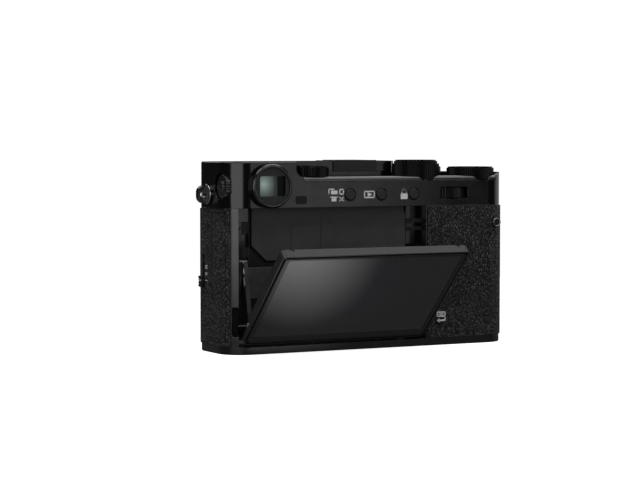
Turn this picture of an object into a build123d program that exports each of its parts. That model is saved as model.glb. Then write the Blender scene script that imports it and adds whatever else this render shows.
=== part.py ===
"""Fixed-lens rangefinder-style digital camera with a tilting rear screen.

Frame: +X to the right seen from behind, +Y towards the lens, +Z up, millimetres.
Origin: centre of the tripod socket's mouth, on the underside of the base plate.
"""
import os
from math import atan2, cos, degrees, pi, radians, sin

from build123d import *

# Outer envelope
HALF_WIDTH = 64.0
HALF_DEPTH = 16.6
CORNER = 10.1
LEATHER = 0.5
BASE_TOP = 2.9
SEAM_Z = 56.5
DECK_Z = 68.4
RIM_Z = 69.7
TOP_Z = 74.4
WALL = 1.7
METAL_W = HALF_WIDTH - LEATHER
METAL_D = HALF_DEPTH - LEATHER
METAL_R = CORNER - LEATHER
BACK = -HALF_DEPTH
METAL_BACK = -METAL_D

# Clearances
RUN = 0.10
PIN_RUN = 0.05

# Screen well in the back
WELL_X0, WELL_X1 = -58.5, 24.4
WELL_DEPTH = 7.5
TROUGH_DEPTH = 10.4
TROUGH_TOP = 17.0
POCKET_W = 7.0
POCKET_TOP = 41.0
WELL_PLATE_Z = 35.0
LATCH_Z = (46.3, 51.0)

# Screen and its double hinge; "out" is the distance behind the back face
SCREEN_W, SCREEN_H, SCREEN_T = 81.2, 50.9, 4.2
SCREEN_X = (WELL_X0 + WELL_X1) / 2
SCREEN_Z0 = 4.3
GROOVE_IN, GROOVE_OUT = 1.1, 0.5
FRAME_SIDE, FRAME_LOW, FRAME_HIGH = 2.9, 4.8, 2.0
ARM_OUT, ARM_Z = -8.4, 6.0
LINK_OUT, LINK_Z = -5.6, 36.0
TILT_OUT, TILT_Z = -4.2, 11.5
ARM_OPEN = 4.6
LINK_RATIO = -2.5
SCREEN_DOWN = 45.0
KNUCKLE = 1.1
HINGE_PIN = 0.5

# Top controls
CUT_X0, CUT_X1 = -34.2, 61.0
WALL_Y = -2.6
STEP_X = 19.0
DIAL_Y = -6.6
SHUTTER_X, SHUTTER_R = 25.0, 9.25
EXPOSURE_X, EXPOSURE_R = 51.0, 9.7
KNOB_X, KNOB_Y, KNOB_R = -23.2, -9.6, 5.95
RELEASE_X, RELEASE_Y = 38.0, 8.0
FN_X, FN_Y = 53.5, 9.0
SHOE_X, SHOE_HALF = -1.0, 9.8

# Back controls on the top plate
ROW_Z = 61.3
ROW_X = (-10.4, 3.8, 18.7)
ROW_NAMES = ("drive_button", "play_button", "lock_button")
ROW_R = 2.2
EYE_X, EYE_Z, EYE_R = -45.8, 65.0, 8.6
VIEW_X = EYE_X + 0.3
WHEEL_X, WHEEL_Z, WHEEL_R = 37.6, 61.5, 8.0
SLOT_W, SLOT_H = 12.8, 4.8
WHEEL_Y = METAL_BACK - 0.5 + WHEEL_R
FRONT_WHEEL_X = 48.0
SENSOR_EYE_X, SENSOR_EYE_Z = -32.1, 59.4

# Back controls on the leather
STICK_X, STICK_Z = 31.5, 33.5
MENU_X, MENU_Z = 31.0, 22.5
DISP_X, DISP_Z = 31.0, 11.6
QUICK_X, QUICK_Z = 57.4, 49.3
QUICK_FLANGE_Y = -10.9

# Left end
DIOPTER_Y, DIOPTER_Z, DIOPTER_R = -8.7, 65.0, 4.7
LUG_Y, LUG_Z = 2.2, 61.7
SWITCH_Y, SWITCH_Z = 6.2, 27.5
SWITCH_MID = 31.6

# Lens
LENS_X, LENS_Z = -5.0, 33.0
LENS_FRONT = 38.7
THREAD_R = 24.5

# Underside and right end
DOOR_X0, DOOR_X1, DOOR_HALF = 31.0, 56.0, 9.0
DOOR_HINGE_Y, DOOR_HINGE_Z = -7.75, 0.95
PORT_Z0, PORT_Z1, PORT_HALF = 14.0, 46.0, 5.2
PORT_HINGE_X, PORT_HINGE_Y = 63.05, 4.1


def block(x0, x1, y0, y1, z0, z1):
    """Box between two opposite corners."""
    return Pos((x0 + x1) / 2, (y0 + y1) / 2, (z0 + z1) / 2) * Box(x1 - x0, y1 - y0, z1 - z0)


def slab(half_x, half_y, radius, z0, z1):
    """Rounded rectangle about the Z axis, extruded from z0 to z1."""
    return Pos(0, 0, z0) * extrude(RectangleRounded(2 * half_x, 2 * half_y, radius), z1 - z0)


def upright(x, y, radius, z0, z1):
    """Cylinder along Z."""
    return Pos(x, y, (z0 + z1) / 2) * Cylinder(radius, z1 - z0)


def along_y(x, z, radius, y0, y1):
    """Cylinder along Y."""
    return Pos(x, (y0 + y1) / 2, z) * Rot(90, 0, 0) * Cylinder(radius, y1 - y0)


def along_x(y, z, radius, x0, x1):
    """Cylinder along X."""
    return Pos((x0 + x1) / 2, y, z) * Rot(0, 90, 0) * Cylinder(radius, x1 - x0)


def panel_y(x, z, width, height, radius, y0, y1):
    """Rounded rectangle facing along Y, extruded from y0 to y1."""
    face = Plane((x, y1, z), x_dir=(1, 0, 0), z_dir=(0, -1, 0)) * RectangleRounded(width, height, radius)
    return extrude(face, y1 - y0)


def panel_x(y, z, width, height, radius, x0, x1):
    """Rounded rectangle facing along X, extruded from x0 to x1."""
    face = Plane((x0, y, z), x_dir=(0, 1, 0), z_dir=(1, 0, 0)) * RectangleRounded(width, height, radius)
    return extrude(face, x1 - x0)


def toothed(radius, depth, teeth, height):
    """Disc about Z from z = 0 up, with a knurled rim of straight teeth."""
    step = 2 * pi / teeth
    points = []
    for tooth in range(teeth):
        for turn, r in ((0.0, radius - depth), (0.28, radius), (0.62, radius), (0.9, radius - depth)):
            angle = (tooth + turn) * step
            points.append((r * cos(angle), r * sin(angle)))
    return extrude(make_face(Polyline(*points, close=True)), height)


def top_edges(shape, axis=Axis.Z):
    """Edges of the face furthest along an axis."""
    return shape.faces().sort_by(axis)[-1].edges()


def facing_y(shape, x, y, z):
    """Turns a shape built up from z = 0 so that it grows towards -Y from the point."""
    return Pos(x, y, z) * Rot(90, 0, 0) * shape


def facing_front(shape, x, y, z):
    """Turns a shape built up from z = 0 so that it grows towards +Y from the point."""
    return Pos(x, y, z) * Rot(-90, 0, 0) * shape


# ---------------------------------------------------------------- fixed body

def base_plate():
    plate = slab(METAL_W, METAL_D, METAL_R, 0, BASE_TOP)
    plate = chamfer(plate.faces().sort_by(Axis.Z)[0].edges(), 0.3)
    plate -= upright(0, 0, 5.5, -1, BASE_TOP + 1)
    plate -= block(DOOR_X0, DOOR_X1, -DOOR_HALF, DOOR_HALF, -1, BASE_TOP + 1)
    plate -= along_x(DOOR_HINGE_Y, DOOR_HINGE_Z, 0.4, DOOR_X0 - 1.5, DOOR_X1 + 1.5)
    for x, y in base_screw_places():
        plate -= upright(x, y, 1.9, -1, 0.9)
        plate -= upright(x, y, 0.9, 0.8, BASE_TOP + 1)
    return plate


def base_screw_places():
    return [(x, y) for x in (-55.0, -24.0, 25.0) for y in (-10.5, 10.5)]


def cross_screw(x, y):
    """Pan screw seen from below, with a cross recess."""
    screw = upright(x, y, 1.85, 0.15, 0.9) + upright(x, y, 0.85, 0.8, BASE_TOP)
    for turn in (0, 90):
        screw -= Pos(x, y, 0.3) * Rot(0, 0, turn) * Box(2.0, 0.45, 0.5)
    return screw


def base_screws():
    return Compound(children=[cross_screw(x, y) for x, y in base_screw_places()])


def tripod_socket():
    socket = upright(0, 0, 5.5, 0, BASE_TOP) + upright(0, 0, 4.6, BASE_TOP, 8.0)
    return socket - upright(0, 0, 3.175, -1, 6.5)


def well_cut():
    """Everything removed from the back for the screen and its hinge."""
    cut = block(WELL_X0, WELL_X1, BACK - 1, BACK + WELL_DEPTH, BASE_TOP - 1, SEAM_Z + 1)
    cut += block(WELL_X0, WELL_X1, BACK - 1, BACK + TROUGH_DEPTH, BASE_TOP - 1, TROUGH_TOP)
    for x0 in (WELL_X0, WELL_X1 - POCKET_W):
        cut += block(x0, x0 + POCKET_W, BACK - 1, BACK + TROUGH_DEPTH, BASE_TOP - 1, POCKET_TOP)
    cut += block(WELL_X0, WELL_X0 + POCKET_W, BACK - 1, BACK + TROUGH_DEPTH, *LATCH_Z)
    cut += block(WELL_X0 + POCKET_W - 1.6, WELL_X0 + POCKET_W, BACK - 1, BACK + TROUGH_DEPTH, 40, LATCH_Z[1])
    cut += block(WELL_X1 - POCKET_W, WELL_X1 - 2.1, BACK - 1, BACK + TROUGH_DEPTH, *LATCH_Z)
    cut += block(WELL_X1 - 2.1, WELL_X1, BACK - 1, BACK + TROUGH_DEPTH, 40, SEAM_Z + 1)
    return cut


def cavity_cut():
    """Inside of the body: shallow behind the well, full depth behind the controls."""
    inside = slab(METAL_W - WALL, METAL_D - WALL, METAL_R - WALL, BASE_TOP - 1, SEAM_Z + 1)
    behind_well = BACK + TROUGH_DEPTH + 1.4
    front_room = inside & block(-HALF_WIDTH, 27, behind_well, HALF_DEPTH, 0, TOP_Z)
    side_room = inside & block(WELL_X1 + WALL, HALF_WIDTH, BACK, HALF_DEPTH, 0, TOP_Z)
    return front_room + side_room


def back_holes(gap):
    """Holes through the back right wall and its leather for the controls there."""
    wall = (BACK - 3, METAL_BACK + WALL + 0.5)
    cut = along_y(STICK_X, STICK_Z, 4.4 + gap, *wall)
    cut += along_y(MENU_X, MENU_Z, 3.0 + gap, *wall)
    cut += along_y(DISP_X, DISP_Z, 3.0 + gap, *wall)
    cut += along_y(QUICK_X, QUICK_Z, 2.0 + gap, BACK - 3, QUICK_FLANGE_Y)
    return cut


def body_shell():
    shell = slab(METAL_W, METAL_D, METAL_R, BASE_TOP, SEAM_Z)
    shell -= cavity_cut()
    shell -= well_cut()
    shell -= along_y(LENS_X, LENS_Z, 22.0, 5, HALF_DEPTH + 1)
    shell -= back_holes(RUN)
    shell -= panel_y(-59.6, 12.7, 2.2, 11.5, 0.8, BACK - 1, BACK + 4.0)
    shell -= block(60, 66, -PORT_HALF, PORT_HALF, PORT_Z0, PORT_Z1)
    shell -= panel_x(SWITCH_Y, SWITCH_MID, 2.2, 13.4, 1.0, -66, -60)
    for x0 in (WELL_X0 - 1.0, WELL_X1 - 1.2):
        shell -= along_x(BACK - ARM_OUT, ARM_Z, HINGE_PIN, x0, x0 + 2.2)
    return shell - port_pin(0.35)


def leather_band():
    outer = slab(HALF_WIDTH, HALF_DEPTH, CORNER, BASE_TOP + 0.4, SEAM_Z - 0.4)
    return outer - slab(METAL_W, METAL_D, METAL_R, 0, TOP_Z)


def side_panel_cut(inset):
    return block(-70, -50, -11.8 + inset, -1.8 - inset, 4.6 + inset, 55.0 - inset)


def leather_wrap():
    """Covering from the back right round the grip end and the front to the left end."""
    wrap = leather_band() - block(-70, WELL_X1 + 0.6, BACK - 1, -12.8, 0, TOP_Z)
    wrap -= along_y(LENS_X, LENS_Z, 28.2, 10, 20)
    wrap -= back_holes(RUN)
    wrap -= side_panel_cut(0) - side_panel_cut(0.4)
    wrap -= block(60, 66, -PORT_HALF, PORT_HALF, PORT_Z0, PORT_Z1)
    wrap -= panel_x(SWITCH_Y, SWITCH_MID, 3.6, 15.0, 1.0, -66, -60)
    wrap -= grip_outline(8.0)
    return wrap


def grip_outline(reach):
    return panel_y(50.0, 29.5, 15.0, 46.0, 6.0, METAL_D, METAL_D + reach)


def grip():
    return fillet(top_edges(grip_outline(6.4), Axis.Y), 4.0)


def well_plate():
    """Raised plate on the well floor with cut lower corners."""
    x0, x1 = WELL_X0 + POCKET_W, WELL_X1 - POCKET_W + 1.2
    floor_y = BACK + WELL_DEPTH
    outline = Polyline((x0, SEAM_Z), (x1, SEAM_Z), (x1, WELL_PLATE_Z + 6.5), (x1 - 7.0, WELL_PLATE_Z),
                       (x0 + 7.0, WELL_PLATE_Z), (x0, WELL_PLATE_Z + 6.5), close=True)
    face = Plane((0, floor_y, 0), x_dir=(1, 0, 0), z_dir=(0, -1, 0)) * make_face(outline)
    return extrude(face, 0.6)


def well_cover():
    """Two thin covers on the raised plate, and a latch hook in the notch at either side of it."""
    y1 = BACK + WELL_DEPTH - 0.6
    hooks = [block(x0, x0 + 3.4, y1 + 0.2, y1 + 2.2, 47.7, 49.3) for x0 in (WELL_X0, WELL_X1 - 5.6)]
    large = panel_y(-0.9, 45.4, 38.2, 17.1, 1.0, y1 - 0.3, y1)
    small = panel_y(-26.7, 43.2, 12.6, 12.4, 0.8, y1 - 0.3, y1)
    return Compound(children=[large, small, *hooks])


# ----------------------------------------------------------------- top plate

def deck_recess():
    """Long step along the back of the top with a rounded left end."""
    height = 30.0
    wide = CUT_X1 - CUT_X0
    face = Plane.XZ * Pos((CUT_X0 + CUT_X1) / 2, DECK_Z + height / 2) * RectangleRounded(wide, height, 3.3)
    cut = Pos(0, WALL_Y, 0) * extrude(face, 30)
    cut += block(CUT_X0 + 3.3, CUT_X1 - 3.3, BACK - 1, WALL_Y, DECK_Z - 1.95, DECK_Z + 1)
    cut += block(CUT_X0 + 3.3, STEP_X, WALL_Y - 1, WALL_Y + 0.9, DECK_Z, RIM_Z + 0.6)
    return cut


def top_plate_cavity():
    room = slab(METAL_W - WALL, METAL_D - WALL, METAL_R - WALL, SEAM_Z - 1, DECK_Z - 3.6)
    room += block(-58.4, CUT_X0 - 1.8, -13.5, 13.6, DECK_Z - 4, TOP_Z - 1.6)
    room += block(CUT_X0 - 2, SHOE_X - SHOE_HALF - 2, WALL_Y + 2.4, 13.6, DECK_Z - 4, TOP_Z - 1.6)
    return room - block(-70, -58.4, -15, -2.5, 58.8, 71.5)


def top_plate_holes():
    """Openings for the controls, the eyepiece, the finder windows and the wheels."""
    wall = (BACK - 3, METAL_BACK + WALL + 0.5)
    cut = along_y(EYE_X, EYE_Z, 7.2, BACK - 1, METAL_BACK + 4)
    for x in ROW_X:
        cut += along_y(x, ROW_Z, ROW_R + RUN, *wall)
    cut += panel_y(WHEEL_X, WHEEL_Z, SLOT_W, SLOT_H, 0.6, *wall)
    cut += panel_y(FRONT_WHEEL_X, WHEEL_Z, SLOT_W, SLOT_H, 0.6, METAL_D - WALL - 0.5, METAL_D + 3)
    cut += panel_y(SENSOR_EYE_X, SENSOR_EYE_Z, 5.0, 3.0, 1.0, *wall)
    cut += panel_y(-46.0, 65.4, 17.0, 11.0, 1.2, METAL_D - 4, METAL_D + 3)
    cut += panel_y(-20.0, 65.4, 10.0, 6.0, 1.0, METAL_D - 4, METAL_D + 3)
    cut += along_y(8.5, 65.4, 2.1, METAL_D - 4, METAL_D + 3)
    cut += along_x(DIOPTER_Y, DIOPTER_Z, DIOPTER_R + 0.4, -66, -60.8)
    cut += along_x(DIOPTER_Y, DIOPTER_Z, 1.5 + RUN, -66, -57)
    cut += along_y(-31.5, 63.5, 1.6, METAL_D - 4, METAL_D + 3)
    return cut


def top_bores():
    """Bores from above for the dial spindles, the release button and the shoe."""
    cut = upright(SHUTTER_X, DIAL_Y, 2.0 + RUN, 60, 80) + upright(EXPOSURE_X, DIAL_Y, 2.0 + RUN, 60, 80)
    cut += upright(KNOB_X, KNOB_Y, 1.5 + RUN, 60, 80)
    cut += upright(RELEASE_X, RELEASE_Y, 3.9, 60, 80)
    cut += upright(FN_X, FN_Y, 1.9 + RUN, 60, 80)
    cut += upright(SHUTTER_X, DIAL_Y, SHUTTER_R + 0.6, DECK_Z - 1.95, 80)
    cut += upright(EXPOSURE_X, DIAL_Y, EXPOSURE_R + 0.2, DECK_Z - 1.95, 80)
    cut += block(SHOE_X - SHOE_HALF, SHOE_X + SHOE_HALF, WALL_Y - 1, 12.4, RIM_Z + 0.6, 80)
    return cut


def top_plate():
    plate = slab(METAL_W, METAL_D, METAL_R, SEAM_Z, TOP_Z)
    plate = fillet(top_edges(plate), 0.6)
    plate -= deck_recess()
    plate -= block(STEP_X, HALF_WIDTH + 1, WALL_Y - 20, HALF_DEPTH, RIM_Z, 80)
    plate -= top_plate_cavity()
    plate -= top_plate_holes()
    plate -= top_bores()
    return plate


def dial_deck():
    """Plate under the dials with a rounded back lip and the collar of the speed dial."""
    deck = block(CUT_X0 + 3.5, CUT_X1 - 3.5, METAL_BACK, WALL_Y - 0.1, DECK_Z - 1.8, DECK_Z)
    lip = deck.edges().filter_by(Axis.X).group_by(Axis.Z)[-1].sort_by(Axis.Y)[0]
    deck = fillet(lip, 1.4)
    deck -= upright(SHUTTER_X, DIAL_Y, SHUTTER_R + 0.6, 60, 80)
    deck += upright(SHUTTER_X, DIAL_Y, 8.4, DECK_Z - 1.9, 70.1)
    deck -= upright(SHUTTER_X, DIAL_Y, 2.0 + RUN, 60, 80)
    deck -= upright(KNOB_X, KNOB_Y, 1.5 + RUN, 60, 80)
    deck -= upright(EXPOSURE_X, DIAL_Y, EXPOSURE_R + 0.2, 60, 80)
    return deck


def eyepiece_ring():
    ring = Pos(EYE_X, METAL_BACK - 3.0, EYE_Z) * Rot(-90, 0, 0) * extrude(Circle(EYE_R), 3.0)
    ring = fillet(ring.faces().sort_by(Axis.Y)[0].edges(), 0.8)
    ring += along_y(EYE_X, EYE_Z, 7.1, METAL_BACK, METAL_BACK + WALL)
    ring -= along_y(EYE_X, EYE_Z, 7.5, BACK - 5, METAL_BACK - 1.9)
    return ring - panel_y(VIEW_X, EYE_Z, 11.2, 7.8, 0.8, BACK - 5, METAL_BACK + 4)


def eyepiece_face():
    """Soft face inside the ring round the window."""
    face = along_y(EYE_X, EYE_Z, 7.4, METAL_BACK - 2.4, METAL_BACK - 1.9)
    return face - panel_y(VIEW_X, EYE_Z, 11.2, 7.8, 0.8, BACK - 5, METAL_BACK + 4)


def eyepiece_glass():
    return panel_y(VIEW_X, EYE_Z, 11.1, 7.7, 0.7, METAL_BACK - 0.9, METAL_BACK + 0.3)


def finder_prism():
    return block(EYE_X - 7.5, EYE_X + 7.5, -12.0, 6.0, 59.0, 71.0)


def eye_sensor_window():
    return panel_y(SENSOR_EYE_X, SENSOR_EYE_Z, 4.9, 2.9, 0.95, METAL_BACK + 0.15, METAL_BACK + 1.2)


def finder_frame():
    frame = panel_y(-46.0, 65.4, 19.0, 13.0, 1.8, METAL_D, METAL_D + 0.9)
    return frame - panel_y(-46.0, 65.4, 15.6, 9.6, 0.8, METAL_D - 1, METAL_D + 3)


def front_windows():
    """Panes in the front of the top plate: finder, flash and focus lamp."""
    finder = panel_y(-46.0, 65.4, 16.8, 10.8, 1.1, METAL_D - 1.4, METAL_D)
    flash = panel_y(-20.0, 65.4, 9.8, 5.8, 0.9, METAL_D - 1.6, METAL_D + 0.2)
    lamp = along_y(8.5, 65.4, 2.0, METAL_D - 1.6, METAL_D + 0.1)
    return Compound(children=[finder, flash, lamp])


def hot_shoe():
    """Accessory shoe: a floor and two rails with inward lips."""
    x0, x1 = SHOE_X - SHOE_HALF + 0.1, SHOE_X + SHOE_HALF - 0.1
    floor = RIM_Z + 0.6
    shoe = block(x0, x1, WALL_Y + 0.1, 12.3, floor, floor + 0.7)
    for inner, outer in ((x0 + 1.0, x0), (x1 - 1.0, x1)):
        shoe += block(min(inner, outer), max(inner, outer), WALL_Y + 0.1, 12.3, floor, TOP_Z + 0.2)
    shoe += block(x0, x0 + 2.6, WALL_Y + 0.1, 12.3, TOP_Z - 0.7, TOP_Z + 0.2)
    shoe += block(x1 - 2.6, x1, WALL_Y + 0.1, 12.3, TOP_Z - 0.7, TOP_Z + 0.2)
    return shoe


def hot_shoe_cover():
    """Cover slid into the rails, with a flat face closing them at the back."""
    half = SHOE_HALF - 1.3
    floor = RIM_Z + 1.4
    cover = block(SHOE_X - half, SHOE_X + half, WALL_Y + 0.2, 11.6, floor, TOP_Z - 0.9)
    cover += block(SHOE_X - 6.9, SHOE_X + 6.9, WALL_Y + 0.2, 11.6, TOP_Z - 0.9, TOP_Z + 0.4)
    face_z = (DECK_Z + 2.0 + TOP_Z + 0.4) / 2
    face_h = TOP_Z + 0.4 - (DECK_Z + 2.0)
    cover += panel_y(SHOE_X, face_z, 2 * SHOE_HALF, face_h, 0.4, WALL_Y - 0.7, WALL_Y - 0.1)
    return cover + block(SHOE_X - 6.8, SHOE_X + 6.8, WALL_Y - 0.2, WALL_Y + 0.3, 71.3, TOP_Z + 0.2)


def strap_lug(side):
    """Turned lug with a bored eye, on the end of the top plate."""
    base = METAL_W if side > 0 else -METAL_W
    stem = Pos(base, LUG_Y, LUG_Z) * Rot(0, 90 * side, 0) * extrude(Circle(3.9), 0.8)
    tongue = panel_y(base + 1.9 * side, LUG_Z, 5.6, 7.0, 2.7, LUG_Y - 1.2, LUG_Y + 1.2)
    tongue &= block(*sorted((base, base + 6 * side)), LUG_Y - 2, LUG_Y + 2, LUG_Z - 5, LUG_Z + 5)
    eye = along_y(base + 2.6 * side, LUG_Z, 1.2, LUG_Y - 3, LUG_Y + 3)
    return stem + tongue - eye


def strap_lugs():
    return Compound(children=[strap_lug(-1), strap_lug(1)])


# ------------------------------------------------------------------ controls

def push_button(x, z, radius, face_y, flange_y=METAL_BACK + WALL + 0.5):
    """Round button in the back: shaft, rounded face and a flange inside the wall."""
    cap = fillet(top_edges(extrude(Circle(radius), flange_y - face_y + 0.3)), 0.35)
    button = facing_y(cap, x, flange_y + 0.3, z)
    return button + along_y(x, z, radius + 0.7, flange_y, flange_y + 0.7)


def row_button(index):
    return push_button(ROW_X[index], ROW_Z, ROW_R, METAL_BACK - 0.45)


def focus_stick():
    stem = along_y(STICK_X, STICK_Z, 1.3, BACK - 1.5, -12.0)
    cap = facing_y(toothed(2.9, 0.25, 18, 1.5), STICK_X, BACK - 1.0, STICK_Z)
    cap = cap - facing_y(extrude(Circle(1.9), 1.0), STICK_X, BACK - 2.2, STICK_Z)
    return stem + cap


def menu_button():
    return push_button(MENU_X, MENU_Z, 3.0, BACK - 0.5)


def disp_button():
    return push_button(DISP_X, DISP_Z, 3.0, BACK - 0.5)


def quick_button():
    return push_button(QUICK_X, QUICK_Z, 2.0, BACK - 0.6, QUICK_FLANGE_Y)


def stick_surround():
    """Dished ring set into the leather round the stick."""
    ring = along_y(STICK_X, STICK_Z, 4.4, BACK - 0.3, METAL_BACK + 0.6)
    return ring - along_y(STICK_X, STICK_Z, 2.2, BACK - 1, METAL_BACK + 1)


def thumb_wheel(x, y):
    """Knurled wheel on a vertical pin behind a slot."""
    wheel = Pos(x, y, WHEEL_Z - 2.0) * toothed(WHEEL_R, 0.35, 44, 4.0)
    return wheel - upright(x, y, 1.0 + PIN_RUN, 50, 70)


def port_pin(radius):
    return upright(PORT_HINGE_X, PORT_HINGE_Y, radius, PORT_Z0 - 1.3, PORT_Z1 + 1.3)


def body_pins():
    """Pins fixed in the body: wheels, battery door, port cover and feet of the screen's arms."""
    pins = [upright(WHEEL_X, WHEEL_Y, 1.0, SEAM_Z - 3.0, DECK_Z - 3.6)]
    pins.append(upright(FRONT_WHEEL_X, -WHEEL_Y, 1.0, SEAM_Z - 3.0, DECK_Z - 3.6))
    pins.append(along_x(DOOR_HINGE_Y, DOOR_HINGE_Z, 0.4, DOOR_X0 - 1.5, DOOR_X1 + 1.5))
    pins.append(port_pin(0.35))
    pins += [hinge_pin(ARM_AXIS, span) for span in both_sides((WELL_X0 - 1.0, ARM_X[1]))]
    return Compound(children=pins)


def rear_wheel():
    return thumb_wheel(WHEEL_X, WHEEL_Y)


def front_wheel():
    return thumb_wheel(FRONT_WHEEL_X, -WHEEL_Y)


def dial_body(x, y, radius, z0, z1, teeth, spindle):
    """Knurled dial with a recessed top disc and a spindle."""
    dial = Pos(x, y, z0) * toothed(radius, 0.3, teeth, z1 - z0 - 0.5)
    dial += upright(x, y, radius - 0.55, z1 - 0.6, z1)
    dial -= upright(x, y, radius - 1.3, z1 - 0.35, z1 + 1)
    return dial + upright(x, y, spindle, DECK_Z - 3.0, z0 + 0.5)


def shutter_dial():
    return dial_body(SHUTTER_X, DIAL_Y, SHUTTER_R - 0.45, 70.4, 74.8, 60, 2.0)


def iso_ring():
    """Lift-and-turn ring round the shutter speed dial."""
    ring = Pos(SHUTTER_X, DIAL_Y, DECK_Z - 1.5) * toothed(SHUTTER_R + 0.3, 0.25, 64, 6.4)
    return ring - upright(SHUTTER_X, DIAL_Y, SHUTTER_R - 0.4, 60, 80)


def exposure_dial():
    return dial_body(EXPOSURE_X, DIAL_Y, EXPOSURE_R, DECK_Z - 1.5, 71.9, 66, 2.0)


def top_knob():
    """Small scalloped knob at the left of the shoe."""
    return dial_body(KNOB_X, KNOB_Y, KNOB_R, DECK_Z + 0.2, 72.6, 36, 1.5)


def power_lever():
    """Collar round the release button with a short front lever."""
    lever = upright(RELEASE_X, RELEASE_Y, 6.6, RIM_Z + 0.1, 72.0)
    lever = fillet(top_edges(lever), 0.5)
    tab = Pos(RELEASE_X, RELEASE_Y + 6.2, 70.9) * Rot(0, 0, 8) * Box(3.4, 4.2, 2.0)
    lever += tab
    return lever - upright(RELEASE_X, RELEASE_Y, 4.0, 60, 80)


def release_button():
    """Release button with a cable thread down its middle."""
    button = fillet(top_edges(upright(RELEASE_X, RELEASE_Y, 3.7, 66.0, 73.4)), 0.8)
    return button - upright(RELEASE_X, RELEASE_Y, 1.25, 68.4, 80)


def fn_button():
    button = fillet(top_edges(upright(FN_X, FN_Y, 1.9, 66.0, 70.3)), 0.4)
    return button + upright(FN_X, FN_Y, 2.6, 64.05, 64.7) + upright(FN_X, FN_Y, 1.4, 64.6, 66.1)


def diopter_dial():
    """Knurled wheel sunk in the left end of the finder, its rim clear of the round corner."""
    wheel = toothed(DIOPTER_R, 0.4, 26, 1.7) + extrude(Circle(1.5), 4.4)
    wheel = Pos(-62.7, DIOPTER_Y, DIOPTER_Z) * Rot(0, 90, 0) * wheel
    return wheel + along_x(DIOPTER_Y, DIOPTER_Z, 2.1, -63.1, -62.6)


def focus_switch():
    """Slide on the left end that picks the focus mode."""
    foot = block(-HALF_WIDTH, -62.4, SWITCH_Y - 0.95, SWITCH_Y + 0.95, SWITCH_Z - 1.5, SWITCH_Z + 1.5)
    knob = panel_x(SWITCH_Y, SWITCH_Z, 3.2, 4.4, 0.6, -HALF_WIDTH - 1.3, -HALF_WIDTH + 0.1)
    for step in (-1, 0, 1):
        knob -= block(-HALF_WIDTH - 2, -HALF_WIDTH - 1.0, SWITCH_Y - 2, SWITCH_Y + 2,
                      SWITCH_Z - 0.15 + step, SWITCH_Z + 0.15 + step)
    return foot + knob


def switch_plate():
    """Track plate under the focus slide."""
    plate = panel_x(SWITCH_Y, SWITCH_MID, 3.5, 14.9, 0.9, -METAL_W - 0.3, -METAL_W)
    return plate - panel_x(SWITCH_Y, SWITCH_MID, 2.2, 13.4, 0.9, -70, -60)


# ---------------------------------------------------------------------- lens

def lens_tube(radius, inner, y0, y1):
    return along_y(LENS_X, LENS_Z, radius, y0, y1) - along_y(LENS_X, LENS_Z, inner, y0 - 1, y1 + 1)


def lens_base():
    """Fixed stepped collar against the body."""
    return lens_tube(28.0, 22.1, METAL_D, 19.0) + lens_tube(25.4, 20.0, 19.0, 21.2)


def lens_barrel():
    """Fixed inner barrel that carries the rings, the glass and the leaf shutter."""
    barrel = lens_tube(21.9, 19.6, 4.0, 19.0) + lens_tube(19.9, 19.0, 19.0, 30.0)
    barrel += lens_tube(23.0, 19.0, 21.3, 34.2)
    barrel += lens_tube(19.5, 14.85, 28.0, 33.0) + lens_tube(19.5, 13.6, 27.0, 30.25)
    return barrel + lens_tube(19.8, 10.05, 5.0, 9.0)


def lens_ring(radius, inner, y0, y1, teeth, depth):
    ring = facing_front(toothed(radius, depth, teeth, y1 - y0), LENS_X, y0, LENS_Z)
    return ring - along_y(LENS_X, LENS_Z, inner, y0 - 1, y1 + 1)


def aperture_ring():
    ring = lens_tube(27.0, 23.1, 21.4, 26.0)
    for side in (-1, 1):
        tab = Pos(LENS_X + side * 27.2, 23.7, LENS_Z) * Box(2.4, 4.2, 7.0)
        ring += tab - along_y(LENS_X, LENS_Z, 25.0, 20, 30)
    return ring


def focus_ring():
    return lens_ring(26.4, 23.1, 26.2, 32.4, 90, 0.35)


def front_ring():
    """Filter ring: name ring, front lip and screw bore."""
    ring = lens_tube(25.6, THREAD_R, 34.2, LENS_FRONT)
    ring += lens_tube(25.6, 23.1, 32.6, 34.2)
    return ring + lens_tube(THREAD_R, 15.0, 34.2, 35.4)


def glass_disc(radius, y, thick, crown):
    """Lens with a flat back and a domed front."""
    dome_r = (radius ** 2 + crown ** 2) / (2 * crown)
    disc = along_y(LENS_X, LENS_Z, radius, y, y + thick + crown)
    dome = Pos(LENS_X, y + thick + crown - dome_r, LENS_Z) * Sphere(dome_r)
    return disc & dome


def lens_elements():
    """Front and rear glass."""
    return Compound(children=[glass_disc(14.8, 30.3, 1.8, 3.0), glass_disc(10.0, 6.0, 2.0, 2.0)])


def leaf_shutter():
    """Round leaf housing with the stopped-down opening."""
    return lens_tube(18.9, 6.0, 17.0, 21.0)


def image_sensor():
    return block(LENS_X - 14, LENS_X + 14, -3.6, -1.6, LENS_Z - 10.5, LENS_Z + 10.5)


def battery():
    return block(DOOR_X0 + 1.2, DOOR_X1 - 1.2, -7.6, 7.6, 3.4, 50.0)


def finder_lever():
    """Front finder switch: a bar turning round a button."""
    lever = along_y(-31.5, 63.5, 3.4, METAL_D + 0.1, METAL_D + 1.8)
    lever += Pos(-31.5, METAL_D + 0.95, 59.6) * Box(2.4, 1.7, 6.0)
    lever += along_y(-31.5, 63.5, 1.5, METAL_D - 2.5, METAL_D + 0.2)
    return lever - along_y(-31.5, 63.5, 1.1, METAL_D + 0.4, METAL_D + 4)


# --------------------------------------------------------- doors and covers

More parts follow.
